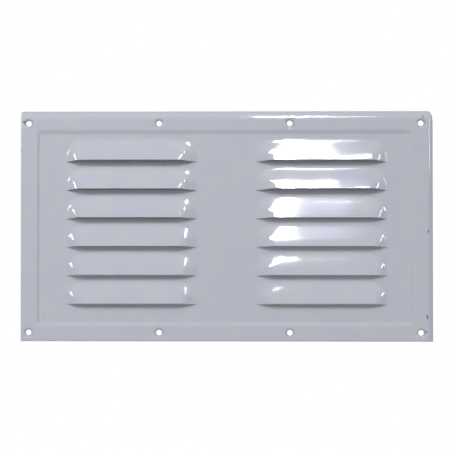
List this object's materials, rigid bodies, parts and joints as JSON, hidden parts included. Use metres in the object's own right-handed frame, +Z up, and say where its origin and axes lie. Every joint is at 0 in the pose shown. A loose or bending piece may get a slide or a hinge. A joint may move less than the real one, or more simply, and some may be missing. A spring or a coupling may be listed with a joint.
{
  "type": "louvred ventilation grille",
  "caption": "Flat rectangular wall grille pressed from painted sheet metal, with columns of downward louvres and a raised screw border.",
  "frame": {"origin": "centre of the screw-hole pattern, in the plane of the wall that the grille lies against", "axes": "+X to the right along the grille as seen from the room, +Y into the wall, +Z up; the louvres open towards -Z"},
  "size_m": [0.3, 0.0057, 0.1675],
  "materials": {
    "gloss_paint": "gloss pale blue-grey stoving paint on pressed steel sheet"
  },
  "bodies": {
    "root": {"louvre_plate": "gloss_paint"}
  },
  "joints": []
}
